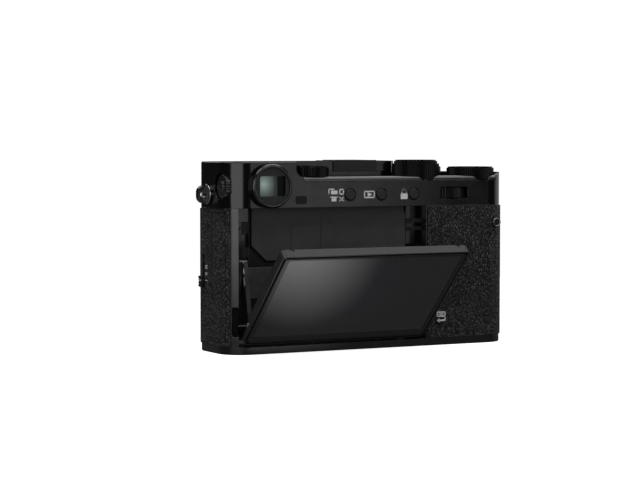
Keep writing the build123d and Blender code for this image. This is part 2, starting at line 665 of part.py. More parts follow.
def battery_door():
    """Flap in the base plate, rounded about its hinge pin."""
    gap = 0.25
    door = block(DOOR_X0 + gap, DOOR_X1 - gap, DOOR_HINGE_Y, DOOR_HALF - gap, 0, 1.9)
    door += along_x(DOOR_HINGE_Y, DOOR_HINGE_Z, 0.95, DOOR_X0 + gap, DOOR_X1 - gap)
    door -= latch_recess()
    return door - along_x(DOOR_HINGE_Y, DOOR_HINGE_Z, 0.4 + PIN_RUN, DOOR_X0, DOOR_X1)


def latch_recess():
    """Shallow finger recess for sliding the flap open."""
    return block(DOOR_X0 + 8, DOOR_X1 - 8, 3.3, 7.3, -1, 0.7)


def port_cover():
    """Cover over the sockets in the grip end, rounded about its hinge pin."""
    z0, z1 = PORT_Z0 + 0.25, PORT_Z1 - 0.25
    cover = block(METAL_W - 1.2, HALF_WIDTH, 0.25 - PORT_HALF, PORT_HINGE_Y, z0, z1)
    cover += upright(PORT_HINGE_X, PORT_HINGE_Y, 0.75, z0, z1)
    return cover - upright(PORT_HINGE_X, PORT_HINGE_Y, 0.35 + PIN_RUN, z0 - 1, z1 + 1)


def port_block():
    """Socket carrier behind the port cover with three sockets."""
    mid = (PORT_Z0 + PORT_Z1) / 2
    carrier = block(56.8, METAL_W - 1.75, -4.9, 4.9, mid - 15.4, mid + 15.4)
    for z, width, height in ((mid - 9.5, 3.2, 8.6), (mid + 0.6, 3.4, 6.8), (mid + 10.0, 4.6, 4.6)):
        carrier -= panel_x(0, z, width, height, 1.5, 57.6, 64)
    return carrier


# ---------------------------------------------------------- screen and hinge

def out_point(out, z):
    """Model (y, z) of a point given by its distance behind the back face."""
    return (BACK - out, z)


def swung(point, centre, angle):
    """Turns an (out, z) point about a centre, top towards the user for angle > 0."""
    out, z = point[0] - centre[0], point[1] - centre[1]
    turn = radians(angle)
    return (centre[0] + out * cos(turn) + z * sin(turn), centre[1] - out * sin(turn) + z * cos(turn))


def swing(shape, centre, angle):
    """Turns a shape about an X axis through an (out, z) centre."""
    y, z = out_point(*centre)
    return Pos(0, y, z) * Rot(angle, 0, 0) * Pos(0, -y, -z) * shape


ARM_AXIS = (ARM_OUT, ARM_Z)
LINK_AXIS = (LINK_OUT, LINK_Z)
TILT_AXIS = (TILT_OUT, TILT_Z)
LINK_REST = swung(LINK_AXIS, ARM_AXIS, ARM_OPEN)
LINK_TURN = LINK_RATIO * ARM_OPEN
TILT_REST = swung(swung(TILT_AXIS, ARM_AXIS, ARM_OPEN), LINK_REST, LINK_TURN)
TILT_TURN = SCREEN_DOWN - ARM_OPEN - LINK_TURN


def arm_rest(shape):
    return swing(shape, ARM_AXIS, ARM_OPEN)


def bracket_rest(shape):
    return swing(arm_rest(shape), LINK_REST, LINK_TURN)


def screen_rest(shape):
    return swing(bracket_rest(shape), TILT_REST, TILT_TURN)


ARM_X = (WELL_X0 + 0.5, WELL_X0 + 2.0)
LEG_X = (WELL_X0 + 2.3, WELL_X0 + 3.9)
EAR_X = (WELL_X0 + 4.2, WELL_X0 + 5.8)
CORNER_X = WELL_X0 + 2.2


def mirrored(span):
    """The same X span at the other side of the well."""
    return (2 * SCREEN_X - span[1], 2 * SCREEN_X - span[0])


def both_sides(span):
    return (span, mirrored(span))


def bar(span, start, end, half):
    """Flat link between two (out, z) points with round ends."""
    (y0, z0), (y1, z1) = out_point(*start), out_point(*end)
    length = ((y1 - y0) ** 2 + (z1 - z0) ** 2) ** 0.5
    tilt = degrees(atan2(z1 - z0, y1 - y0))
    face = Plane((span[0], (y0 + y1) / 2, (z0 + z1) / 2), x_dir=(0, cos(radians(tilt)), sin(radians(tilt))),
                 z_dir=(1, 0, 0)) * SlotCenterToCenter(length, 2 * half)
    return extrude(face, span[1] - span[0])


def hinge_pin(centre, span, radius=HINGE_PIN):
    y, z = out_point(*centre)
    return along_x(y, z, radius, *span)


def tilt_arm(span):
    arm = bar(span, ARM_AXIS, LINK_AXIS, KNUCKLE)
    arm -= hinge_pin(ARM_AXIS, (span[0] - 1, span[1] + 1), HINGE_PIN + PIN_RUN)
    return arm - hinge_pin(LINK_AXIS, (span[0] - 1, span[1] + 1), HINGE_PIN + PIN_RUN)


def tilt_arms():
    """Two arms hinged at the foot of the well and joined by a rod."""
    first, second = both_sides(ARM_X)
    rod_at = (ARM_OUT + 0.2, ARM_Z + 4.5)
    rod = hinge_pin(rod_at, (first[0] + 0.3, second[1] - 0.3), 0.75)
    return arm_rest(tilt_arm(first) + tilt_arm(second) + rod)


def bracket_pins():
    """Pins fixed in the bracket: two in the arms and two in the ears of the screen."""
    pins = [arm_rest(hinge_pin(LINK_AXIS, side)) for side in both_sides((ARM_X[0], LEG_X[1]))]
    pins += [bracket_rest(hinge_pin(TILT_AXIS, side)) for side in both_sides((LEG_X[0], EAR_X[1]))]
    return Compound(children=pins)


def bracket_leg(span):
    leg = bar(span, TILT_AXIS, LINK_AXIS, KNUCKLE)
    leg -= hinge_pin(LINK_AXIS, (span[0] - 1, span[1] + 1))
    return leg - hinge_pin(TILT_AXIS, (span[0] - 1, span[1] + 1))


def tilt_bracket():
    """Frame between the arms and the screen: two legs and a stiff web."""
    first, second = both_sides(LEG_X)
    y0 = BACK + SCREEN_T + 0.6
    web = block(first[0], second[1], y0 + 0.3, y0 + 1.3, 22.0, 34.0)
    web -= block(first[1] + 12, second[0] - 12, y0 - 1, y0 + 3, 25.0, 31.0)
    return bracket_rest(bracket_leg(first) + bracket_leg(second) + web)


def screen_outline(inset, y0, y1, radius=2.0, low_radius=3.6):
    """Outline of the screen at a given inset, with rounder lower corners."""
    middle = SCREEN_Z0 + SCREEN_H / 2
    wide, high = SCREEN_W - 2 * inset, SCREEN_H - 2 * inset
    outline = panel_y(SCREEN_X, middle, wide, high, radius, y0, y1)
    return outline & panel_y(SCREEN_X, middle + 10, wide, high + 20, low_radius, y0, y1)


def display_outline(gap, y0, y1):
    """Outline of the display window in the front frame, reduced by a gap."""
    z0 = SCREEN_Z0 + FRAME_LOW
    z1 = SCREEN_Z0 + SCREEN_H - FRAME_HIGH
    wide = SCREEN_W - 2 * FRAME_SIDE
    return panel_y(SCREEN_X, (z0 + z1) / 2, wide - 2 * gap, z1 - z0 - 2 * gap, 0.8, y0, y1)


def screen_back():
    """Rear housing: side walls round the front frame, hinge ears and lower corners cut for the arms."""
    back_y = BACK + SCREEN_T
    top = SCREEN_Z0 + SCREEN_H
    housing = screen_outline(0, BACK + 0.3, back_y)
    housing = chamfer(housing.faces().sort_by(Axis.Y)[-1].edges(), 0.4)
    housing -= screen_outline(GROOVE_OUT, BACK - 1, BACK + 1.4, 1.5, 3.1)
    housing -= block(-60, 30, back_y - 2.4, back_y + 1, SCREEN_Z0 - 1, SCREEN_Z0 + 2.4)
    for span in both_sides((WELL_X0, CORNER_X)):
        housing -= block(*span, BACK + 2.0, back_y + 1, SCREEN_Z0 - 1, 17.0)
        housing -= block(*span, BACK + 1.0, back_y + 1, SCREEN_Z0 - 1, 6.6)
    housing -= screen_outline(5.2, BACK, BACK + 2.7, 1.0, 1.0)
    for side in (-1, 1):
        x = SCREEN_X + side * 36.0
        housing -= block(x - 0.9, x + 0.9, back_y - 1.3, back_y + 1, top - 0.9, top + 1)
    for span in both_sides((LEG_X[0] - 0.3, EAR_X[1] + 0.3)):
        housing -= block(*span, back_y - 1.35, back_y + 2, TILT_Z - 1.6, top - 16)
    for span in both_sides(EAR_X):
        y, z = out_point(*TILT_AXIS)
        housing += along_x(y, z, KNUCKLE, *span) + block(*span, y - 1.4, y, z - 1.1, z + 3.0)
    housing -= hinge_pin(TILT_AXIS, (-70, 40), HINGE_PIN + PIN_RUN)
    return screen_rest(housing)


def screen_front():
    """Front frame of the screen, set inside the housing with a groove all round."""
    frame = screen_outline(GROOVE_IN, BACK, BACK + 1.3, 1.4, 3.0)
    frame = fillet(frame.faces().sort_by(Axis.Y)[0].edges(), 0.6)
    return screen_rest(frame - display_outline(0, BACK - 1, BACK + 3))


def screen_glass():
    return screen_rest(display_outline(0.18, BACK + 0.1, BACK + 1.3))


# ------------------------------------------------------------------- writing

FIXED = {
    "base_plate": base_plate, "base_screws": base_screws, "tripod_socket": tripod_socket,
    "body_shell": body_shell, "leather_wrap": leather_wrap, "grip": grip, "well_plate": well_plate,
    "well_cover": well_cover, "top_plate": top_plate, "dial_deck": dial_deck, "eyepiece_ring": eyepiece_ring,
    "eyepiece_face": eyepiece_face, "eyepiece_glass": eyepiece_glass, "finder_prism": finder_prism,
    "eye_sensor_window": eye_sensor_window, "finder_frame": finder_frame, "front_windows": front_windows,
    "hot_shoe": hot_shoe, "stick_surround": stick_surround, "body_pins": body_pins,
    "strap_lugs": strap_lugs, "switch_plate": switch_plate, "lens_base": lens_base,
    "lens_barrel": lens_barrel, "front_ring": front_ring, "lens_elements": lens_elements,
    "leaf_shutter": leaf_shutter, "image_sensor": image_sensor, "battery": battery, "port_block": port_block,
}

MOVING = {
    "tilt_arms": tilt_arms, "tilt_bracket": tilt_bracket, "bracket_pins": bracket_pins,
    "screen_back": screen_back, "screen_front": screen_front, "screen_glass": screen_glass,
    "hot_shoe_cover": hot_shoe_cover, "shutter_dial": shutter_dial,
    "iso_ring": iso_ring, "exposure_dial": exposure_dial, "top_knob": top_knob, "power_lever": power_lever,
    "release_button": release_button, "fn_button": fn_button, "rear_wheel": rear_wheel,
    "front_wheel": front_wheel, "focus_stick": focus_stick, "menu_button": menu_button,
    "disp_button": disp_button, "quick_button": quick_button, "diopter_dial": diopter_dial,
    "focus_switch": focus_switch, "aperture_ring": aperture_ring, "focus_ring": focus_ring,
    "finder_lever": finder_lever, "battery_door": battery_door, "port_cover": port_cover,
}

os.makedirs("parts", exist_ok=True)
for node, make in {**FIXED, **MOVING}.items():
    export_step(make(), f"parts/{node}.step")
for index, node in enumerate(ROW_NAMES):
    export_step(row_button(index), f"parts/{node}.step")
print("arm axis", out_point(*ARM_AXIS), "link axis", out_point(*LINK_REST), "tilt axis", out_point(*TILT_REST))
print("tilt turn", TILT_TURN)
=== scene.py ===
import math

import bmesh
import bpy
from mathutils import Matrix, Vector


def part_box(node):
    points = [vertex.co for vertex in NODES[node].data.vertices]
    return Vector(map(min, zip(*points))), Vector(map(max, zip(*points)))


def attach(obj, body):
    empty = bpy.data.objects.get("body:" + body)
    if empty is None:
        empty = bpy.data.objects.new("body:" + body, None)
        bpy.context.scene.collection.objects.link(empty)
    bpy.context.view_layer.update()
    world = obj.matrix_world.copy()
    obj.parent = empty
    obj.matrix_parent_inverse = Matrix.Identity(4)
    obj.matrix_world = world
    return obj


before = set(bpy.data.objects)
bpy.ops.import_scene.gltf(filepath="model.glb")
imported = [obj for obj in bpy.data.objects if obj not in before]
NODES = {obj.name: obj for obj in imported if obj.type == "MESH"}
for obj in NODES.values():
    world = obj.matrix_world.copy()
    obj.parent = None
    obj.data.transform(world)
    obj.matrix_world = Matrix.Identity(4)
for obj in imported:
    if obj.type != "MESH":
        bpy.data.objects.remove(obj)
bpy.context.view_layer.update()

MM = 0.001
BODY = "camera_body"

# Places that the node boxes don't give, in millimetres
SLIDE_Z, SLIDE_STEP = 27.5, 2.9
ARM_FOOT_Y, ARM_FOOT_Z, ARM_LEAN = -8.2, 6.0, 0.175
LINK_PIN, TILT_PIN = Vector((-13.4, 35.68)), Vector((-17.73, 11.52))
RECESS_Z, RECESS_HALF = 12.7, 5.4
VIEW_HEIGHT = 65.8
SOCKET_FLOOR_X = 58.0
RING_MARKS_RADIUS, LENS_INDEX_Y, LENS_INDEX_RADIUS = 27.03, 17.6, 28.02

# Sizes of the printed marks, in millimetres
INK = 0.04
LINE = 0.5
PROUD = 0.01


# ------------------------------------------------------------ shader helpers

class Graph:
    """A material's node tree with short calls for the nodes used here."""

    def __init__(self, name):
        self.material = bpy.data.materials.new(name)
        self.material.use_nodes = True
        self.tree = self.material.node_tree
        self.tree.nodes.clear()
        self.place = self.add("ShaderNodeTexCoord").outputs["Object"]

    def add(self, kind, **settings):
        node = self.tree.nodes.new(kind)
        for key, value in settings.items():
            setattr(node, key, value)
        return node

    def put(self, value, socket):
        """Links a node's output to a socket, or sets the socket to a constant."""
        if isinstance(value, bpy.types.NodeSocket):
            self.tree.links.new(value, socket)
        else:
            socket.default_value = value

    def feed(self, node, **inputs):
        for key, value in inputs.items():
            self.put(value, node.inputs[key.replace("_", " ")])
        return node

    def stretched(self, scale):
        """Object coordinates stretched along the axes."""
        node = self.feed(self.add("ShaderNodeMapping"), Vector=self.place, Scale=scale)
        return node.outputs["Vector"]

    def noise(self, size, detail=3.0, rough=0.5, warp=0.0, coord=None):
        """Noise with features about size metres across."""
        node = self.add("ShaderNodeTexNoise")
        self.feed(node, Vector=coord or self.place, Scale=1.0 / size, Detail=detail,
                  Roughness=rough, Distortion=warp)
        return node.outputs["Fac"]

    def creases(self, size, coord):
        """Distance to the nearest edge between cells about size metres across."""
        node = self.add("ShaderNodeTexVoronoi", feature="DISTANCE_TO_EDGE")
        self.feed(node, Vector=coord, Scale=1.0 / size)
        return node.outputs["Distance"]

    def math(self, operation, a, b):
        node = self.add("ShaderNodeMath", operation=operation)
        self.put(a, node.inputs[0])
        self.put(b, node.inputs[1])
        return node.outputs[0]

    def vectors(self, operation, *values, output="Vector"):
        """Vector maths on two or three vectors."""
        node = self.add("ShaderNodeVectorMath", operation=operation)
        for value, socket in zip(values, node.inputs):
            self.put(value, socket)
        return node.outputs[output]

    def span(self, value, low, high, to_low, to_high):
        """Maps a value from one range to another, clamped."""
        node = self.add("ShaderNodeMapRange")
        self.feed(node, Value=value, From_Min=low, From_Max=high, To_Min=to_low, To_Max=to_high)
        return node.outputs["Result"]

    def blend(self, factor, first, second):
        """Mixes two colours."""
        node = self.add("ShaderNodeMix", data_type="RGBA")
        for index, value in ((0, factor), (6, first), (7, second)):
            self.put(value, node.inputs[index])
        return node.outputs[2]

    def blotches(self, value, first, second, low=0.35, high=0.7):
        """Two colours parted softly by a noise value."""
        return self.blend(self.span(value, low, high, 0.0, 1.0), first, second)

    def bump(self, height, depth, strength=1.0, normal=None):
        """Surface relief of a height value, depth metres high."""
        node = self.add("ShaderNodeBump")
        self.feed(node, Height=height, Distance=depth, Strength=strength)
        if normal:
            self.feed(node, Normal=normal)
        return node.outputs["Normal"]

    def round_edges(self, radius):
        """Normals that round the edges of a mesh."""
        node = self.feed(self.add("ShaderNodeBevel", samples=4), Radius=radius)
        return node.outputs["Normal"]

    def edge_mask(self, radius):
        """Near 1 on edges, 0 on flats."""
        flat = self.add("ShaderNodeNewGeometry").outputs["Normal"]
        likeness = self.vectors("DOT_PRODUCT", self.round_edges(radius), flat, output="Value")
        return self.span(likeness, 0.97, 0.80, 0.0, 1.0)

    def finish(self, shader):
        self.put(shader, self.add("ShaderNodeOutputMaterial").inputs["Surface"])
        return self.material

    def principled(self, level=0.5, **inputs):
        """Ends the material in a Principled shader; level is how strongly it reflects."""
        node = self.feed(self.add("ShaderNodeBsdfPrincipled"), **inputs)
        node.inputs["Specular IOR Level"].default_value = level
        return self.finish(node.outputs["BSDF"])


def grey(value):
    return (value, value, value, 1.0)


# ----------------------------------------------------------------- materials

def paint(name, tone, rough, wear_and_highlight=0.06, level=0.5, edge=0.25 * MM):
    """Satin black paint: fine sprayed grain, faint smears, and lighter rubbed edges that are part real
    rubbing and part painted highlight.
    """
    g = Graph(name)
    smear = g.noise(9 * MM, 4.0, 0.6, 0.6)
    fine = g.noise(0.12 * MM, 2.0, 0.6)
    rubbed = g.span(g.noise(2.2 * MM, 4.0), 0.42, 0.68, 0.0, 1.0)
    # Lighter edge colour: part real rubbing, part painted highlight standing in for light catching the
    # edges.
    worn_and_highlit = g.math("MULTIPLY", g.edge_mask(edge), rubbed)
    colour = g.blend(worn_and_highlit, g.blotches(smear, grey(tone * 0.85), grey(tone * 1.2)), grey(wear_and_highlight))
    gloss = g.span(smear, 0.3, 0.75, rough - 0.04, rough + 0.06)
    normal = g.bump(fine, 0.006 * MM, 0.6, g.round_edges(edge))
    return g.principled(level, Base_Color=colour, Roughness=gloss, Normal=normal)


def leatherette():
    """Coarse leathery covering: long grains parted by creases darkened with painted shade, matt with
    polished tops.
    """
    g = Graph("leatherette")
    wander = g.noise(1.0 * MM, 2.0, coord=g.stretched((1.0, 1.0, 0.7)))
    tall = g.stretched((1.0, 1.0, 0.6))
    crease = g.creases(0.85 * MM, g.vectors("MULTIPLY_ADD", wander, (1.1 * MM,) * 3, tall))
    fine = g.noise(0.45 * MM, 3.0, 0.65)
    height = g.math("ADD", g.span(crease, 0.02, 0.30, 0.0, 1.0), g.math("MULTIPLY", fine, 0.35))
    tops = g.blotches(g.noise(5 * MM, 3.0), grey(0.062), grey(0.1))
    # Near-black colour in the creases is painted shade in the hollows of the grain.
    colour = g.blotches(height, grey(0.0005), tops, 0.4, 1.0)
    gloss = g.span(height, 0.2, 1.2, 0.7, 0.42)
    normal = g.bump(height, 0.34 * MM)
    return g.principled(0.35, Base_Color=colour, Roughness=gloss, Normal=normal)


def moulded(name, tone, rough, grain=0.18 * MM, depth=0.01 * MM, level=0.5):
    """Moulded plastic with a fine spark-eroded texture, softened edges and a painted highlight in the
    colour along them.
    """
    g = Graph(name)
    fine = g.noise(grain, 2.0, 0.6)
    patch = g.noise(6 * MM, 3.0, 0.6)
    # Lighter colour along the edges is a painted highlight.
    edges = g.math("MULTIPLY", g.edge_mask(0.15 * MM), 0.5)
    colour = g.blotches(patch, grey(tone * 0.88), grey(tone * 1.15))
    colour = g.blend(edges, colour, grey(tone * 2.2))
    gloss = g.span(patch, 0.3, 0.7, rough - 0.05, rough + 0.06)
    normal = g.bump(fine, depth, 0.7, g.round_edges(0.15 * MM))
    return g.principled(level, Base_Color=colour, Roughness=gloss, Normal=normal)


def metal(name, tone, rough, metallic=1.0):
    """Machined metal with fine directional marks."""
    g = Graph(name)
    marks = g.noise(0.9 * MM, 3.0, 0.7, coord=g.stretched((1, 1, 30)))
    colour = g.blotches(g.noise(3 * MM, 3.0), grey(tone * 0.85), grey(tone * 1.1))
    gloss = g.span(marks, 0.3, 0.7, rough - 0.07, rough + 0.09)
    normal = g.bump(marks, 0.01 * MM, 0.4, g.round_edges(0.1 * MM))
    return g.principled(Base_Color=colour, Roughness=gloss, Metallic=metallic, Normal=normal)


def display_glass():
    """Cover glass over a dark panel: smooth, with faint finger marks."""
    g = Graph("display_glass")
    smear = g.noise(7 * MM, 5.0, 0.65, 1.2)
    gloss = g.span(smear, 0.45, 0.75, 0.05, 0.14)
    colour = g.blotches(smear, (0.008, 0.008, 0.011, 1), (0.013, 0.013, 0.017, 1), 0.4, 0.8)
    return g.principled(0.55, Base_Color=colour, Roughness=gloss, Coat_Weight=0.6,
                        Coat_Roughness=0.05, Coat_IOR=1.5)


def coated_glass(name, tone, grazing_reflection_colour):
    """Dark optical glass whose coloured coating reflection is painted into its colour towards grazing
    angles: a painted reflection.
    """
    g = Graph(name)
    painted_glint_facing = g.add("ShaderNodeLayerWeight")
    painted_glint_facing.inputs["Blend"].default_value = 0.35
    haze = g.noise(5 * MM, 4.0, 0.6, 0.8)
    # Colour turns to the grazing colour by facing angle: painted reflection.
    colour = g.blend(painted_glint_facing.outputs["Facing"], tone, grazing_reflection_colour)
    rough = g.span(haze, 0.4, 0.8, 0.03, 0.1)
    return g.principled(0.8, Base_Color=colour, Roughness=rough, Coat_Weight=1.0,
                        Coat_Roughness=0.02, Coat_IOR=1.6)


def finder_painted_glow():
    """Painted light of the view inside the eyepiece: an emitted pale green-white glow at the left, and
    painted shade at the right where the ring's inner wall shades the window.
    """
    g = Graph("finder_painted_glow")
    split = g.feed(g.add("ShaderNodeSeparateXYZ"), Vector=g.place)
    x, z = split.outputs["X"], split.outputs["Z"]
    across = g.math("POWER", g.math("SUBTRACT", x, VIEW_LEFT + 2.2 * MM), 2.0)
    up = g.math("POWER", g.math("SUBTRACT", z, VIEW_HEIGHT * MM), 2.0)
    far = g.math("POWER", g.math("ADD", across, up), 0.5)
    # Emitted glow centred near the left of the window: painted light.
    glow = g.math("POWER", g.span(far, 0.0, 6.0 * MM, 1.0, 0.0), 1.8)
    # Dimmer emitted light over the rest of the window, fading to the right: painted light.
    pane = g.blend(g.span(x, VIEW_LEFT + 4 * MM, VIEW_LEFT + 7 * MM, 0.0, 1.0),
                   (0.06, 0.072, 0.068, 1), (0.045, 0.052, 0.05, 1))
    painted_lit_view = g.blend(glow, pane, (0.30, 0.40, 0.36, 1))
    # Painted shade: a step of shade, then the shadow of the ring's inner wall at the right.
    step = g.span(x, VIEW_LEFT + 6.4 * MM, VIEW_LEFT + 6.7 * MM, 1.0, 0.7)
    dark = g.span(x, VIEW_LEFT + 7.8 * MM, VIEW_LEFT + 8.3 * MM, 1.0, 0.02)
    shade = g.math("MULTIPLY", step, dark)
    colour = g.blend(shade, (0.001, 0.001, 0.001, 1), painted_lit_view)
    return g.principled(0.04, Base_Color=(0.002, 0.003, 0.003, 1), Roughness=0.1,
                        Emission_Color=colour, Emission_Strength=0.8)


def print_ink(name, colour):
    """Filled paint of a printed or engraved mark."""
    g = Graph(name)
    speck = g.noise(0.09 * MM, 2.0, 0.7)
    dull = (colour[0] * 0.8, colour[1] * 0.8, colour[2] * 0.8, 1.0)
    shade = g.blotches(speck, colour, dull, 0.4)
    return g.principled(Base_Color=shade, Roughness=0.5, Normal=g.bump(speck, 0.01 * MM, 0.3))


VIEW_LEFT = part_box("eyepiece_glass")[0][0]

MATERIALS = {
    "top": paint("top_paint", 0.0025, 0.15),
    "body": paint("body_paint", 0.006, 0.2, level=0.68),
    "base": paint("base_paint", 0.004, 0.24, level=0.6),
    "deck": paint("deck_paint", 0.008, 0.2, level=1.0),
    "ring": paint("ring_paint", 0.005, 0.16, wear_and_highlight=0.12, level=0.8),
    "leather": leatherette(),
    "well": moulded("well_plastic", 0.05, 0.5),
    "screen": moulded("screen_plastic", 0.022, 0.42, level=0.42),
    "bezel": paint("bezel_paint", 0.01, 0.3, wear_and_highlight=0.04),
    "glass": display_glass(),
    "dial": paint("dial_paint", 0.0015, 0.3, wear_and_highlight=0.03, edge=0.12 * MM, level=0.13),
    "knurl": paint("wheel_paint", 0.002, 0.32, wear_and_highlight=0.05, edge=0.1 * MM, level=0.2),
    # Strong lighter edges here: a painted highlight on the wheel's teeth, over real rubbing.
    "diopter": paint("diopter_paint", 0.012, 0.26, wear_and_highlight=0.4, edge=0.3 * MM, level=0.8),
    "lug": metal("lug_metal", 0.1, 0.2),
    "button": moulded("button_plastic", 0.01, 0.28),
    "cover": moulded("shoe_cover_plastic", 0.014, 0.4),
    "rubber": moulded("eye_rubber", 0.02, 0.6, grain=0.3 * MM, depth=0.02 * MM),
    "steel": metal("bright_steel", 0.5, 0.3),
    "black_steel": metal("black_steel", 0.03, 0.26, metallic=0.6),
    "dark_steel": metal("dark_steel", 0.13, 0.34),
    "pin_steel": metal("pin_steel", 0.12, 0.3),
    # Near-black and barely reflecting: painted shade for the slot beside the screen's foot and the gap
    # round the well plate.
    "recess": moulded("painted_shade_black", 0.002, 0.7, level=0.08),
    "lens": paint("lens_paint", 0.006, 0.27, wear_and_highlight=0.05),
    "optic": coated_glass("lens_coating", (0.01, 0.012, 0.03, 1), (0.12, 0.06, 0.2, 1)),
    "pane": coated_glass("window_pane", (0.02, 0.03, 0.03, 1), (0.1, 0.12, 0.14, 1)),
    "eye_sensor": moulded("sensor_window", 0.012, 0.4, level=0.3),
    "finder": finder_painted_glow(),
    "sensor": coated_glass("sensor_face", (0.02, 0.04, 0.05, 1), (0.1, 0.04, 0.12, 1)),
    "battery": moulded("battery_wrap", 0.1, 0.35),
    "white": print_ink("white_ink", (0.88, 0.88, 0.86, 1)),
    "tin": metal("contact_tin", 0.62, 0.28),
}

USED_BY = {
    "top": ("top_plate", "finder_frame"),
    "body": ("body_shell",),
    "base": ("base_plate",),
    "deck": ("dial_deck",),
    "ring": ("eyepiece_ring", "quick_button"),
    "leather": ("leather_wrap", "grip"),
    "well": ("well_plate", "well_cover", "port_cover", "battery_door", "switch_plate", "port_block"),
    "screen": ("screen_back",),
    "bezel": ("screen_front",),
    "glass": ("screen_glass",),
    "dial": ("shutter_dial", "iso_ring", "exposure_dial", "top_knob", "power_lever", "finder_lever"),
    "knurl": ("rear_wheel", "front_wheel"),
    "diopter": ("diopter_dial",),
    "button": ("release_button", "fn_button", "focus_stick", "menu_button", "disp_button",
               "drive_button", "play_button", "lock_button", "focus_switch", "stick_surround"),
    "cover": ("hot_shoe_cover",),
    "rubber": ("eyepiece_face",),
    "steel": ("tripod_socket",),
    "pin_steel": ("body_pins", "bracket_pins"),
    "black_steel": ("hot_shoe",),
    "lug": ("strap_lugs",),
    "dark_steel": ("tilt_arms", "tilt_bracket", "base_screws"),
    "lens": ("lens_base", "lens_barrel", "front_ring", "leaf_shutter", "aperture_ring", "focus_ring"),
    "optic": ("lens_elements",),
    "pane": ("front_windows",),
    "eye_sensor": ("eye_sensor_window",),
    "finder": ("eyepiece_glass", "finder_prism"),
    "sensor": ("image_sensor",),
    "battery": ("battery",),
}


def dress_nodes():
    for key, nodes in USED_BY.items():
        for name in nodes:
            for slot in NODES[name].material_slots:
                slot.material = MATERIALS[key]


# -------------------------------------------------------------- built pieces

X, Y, Z = Vector((1, 0, 0)), Vector((0, 1, 0)), Vector((0, 0, 1))
CORNER_STEPS, DOT_SIDES = 4, 10
DIAL_SINK = 0.35


def seat(origin, right, up):
    """Maps local millimetres (right, up, out of the surface) to the shared frame."""
    out = right.cross(up)
    axes = Matrix((right, up, out)).transposed().to_4x4()
    return Matrix.Translation(Vector(origin) * MM) @ axes @ Matrix.Scale(MM, 4)


def lathe_seat(centre, axis):
    """Seat whose local out direction is the axis of a turned piece."""
    right = X if abs(axis.x) < 0.9 else Y
    right = (right - axis * right.dot(axis)).normalized()
    return seat(centre, right, axis.cross(right))


